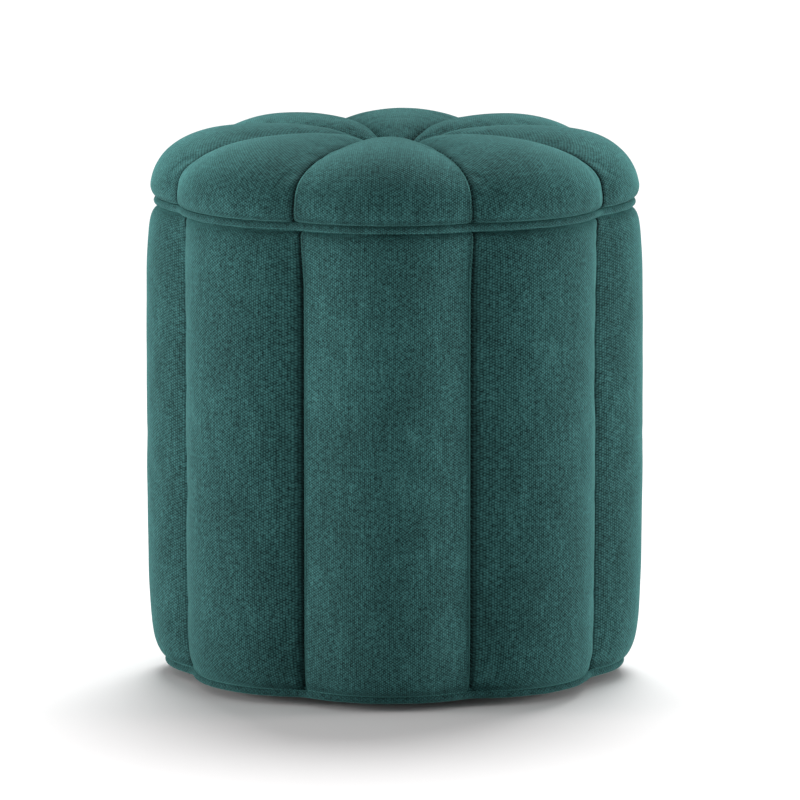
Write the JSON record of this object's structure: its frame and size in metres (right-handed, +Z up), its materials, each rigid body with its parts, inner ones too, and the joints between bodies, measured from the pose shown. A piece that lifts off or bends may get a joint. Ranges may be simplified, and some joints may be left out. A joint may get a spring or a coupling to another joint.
{
  "type": "storage ottoman",
  "caption": "Round upholstered storage ottoman with scalloped lobes, covered cord trim and a loose domed petal lid.",
  "frame": {"origin": "on the floor, under the middle of the drum", "axes": "+Z up out of the lid, the middle of one lobe faces -Y, and the lobes repeat every 45 degrees"},
  "size_m": [0.405, 0.405, 0.4542],
  "materials": {
    "upholstery": "woven teal chenille with a soft sheen",
    "piping": "covered cord in the same teal chenille",
    "foam": "cream polyurethane foam",
    "board": "fibreboard, bare",
    "fibreboard": "thin bent hardboard",
    "post_wood": "sawn pine",
    "lining": "dark grey plain weave lining",
    "dust_cloth": "black spunbond cloth",
    "nylon": "black nylon",
    "zinc_steel": "zinc plated",
    "twine": "waxed upholstery twine"
  },
  "bodies": {
    "drum": {"side_panel_1": "upholstery", "side_panel_2": "upholstery", "side_panel_3": "upholstery", "side_panel_4": "upholstery", "side_panel_5": "upholstery", "side_panel_6": "upholstery", "side_panel_7": "upholstery", "side_panel_8": "upholstery", "rim_band": "upholstery", "base_band": "upholstery", "base_hem": "upholstery", "base_piping": "piping", "side_pad_1": "foam", "side_pad_2": "foam", "side_pad_3": "foam", "side_pad_4": "foam", "side_pad_5": "foam", "side_pad_6": "foam", "side_pad_7": "foam", "side_pad_8": "foam", "base_board": "board", "top_ring": "board", "drum_wall": "fibreboard", "post_1": "post_wood", "post_2": "post_wood", "post_3": "post_wood", "post_4": "post_wood", "post_5": "post_wood", "post_6": "post_wood", "post_7": "post_wood", "post_8": "post_wood", "liner": "lining", "floor_panel": "lining", "dust_cover": "dust_cloth", "glide_1": "nylon", "glide_2": "nylon", "glide_3": "nylon", "glide_4": "nylon", "glide_nails": "zinc_steel", "base_screws": "zinc_steel", "ring_screws": "zinc_steel"},
    "lid": {"lid_board": "board", "lid_foam": "foam", "lid_panel_1": "upholstery", "lid_panel_2": "upholstery", "lid_panel_3": "upholstery", "lid_panel_4": "upholstery", "lid_panel_5": "upholstery", "lid_panel_6": "upholstery", "lid_panel_7": "upholstery", "lid_panel_8": "upholstery", "lid_piping": "piping", "lid_hem": "upholstery", "locating_disc": "board", "disc_lining": "dust_cloth", "disc_screws": "zinc_steel", "tuft_button": "upholstery", "tuft_twine": "twine", "tuft_washer": "nylon"}
  },
  "joints": [
    {"name": "lid_lift", "type": "slide", "parent": "drum", "child": "lid", "axis": [0, 0, 1], "range_m": [0, 0.3]}
  ]
}
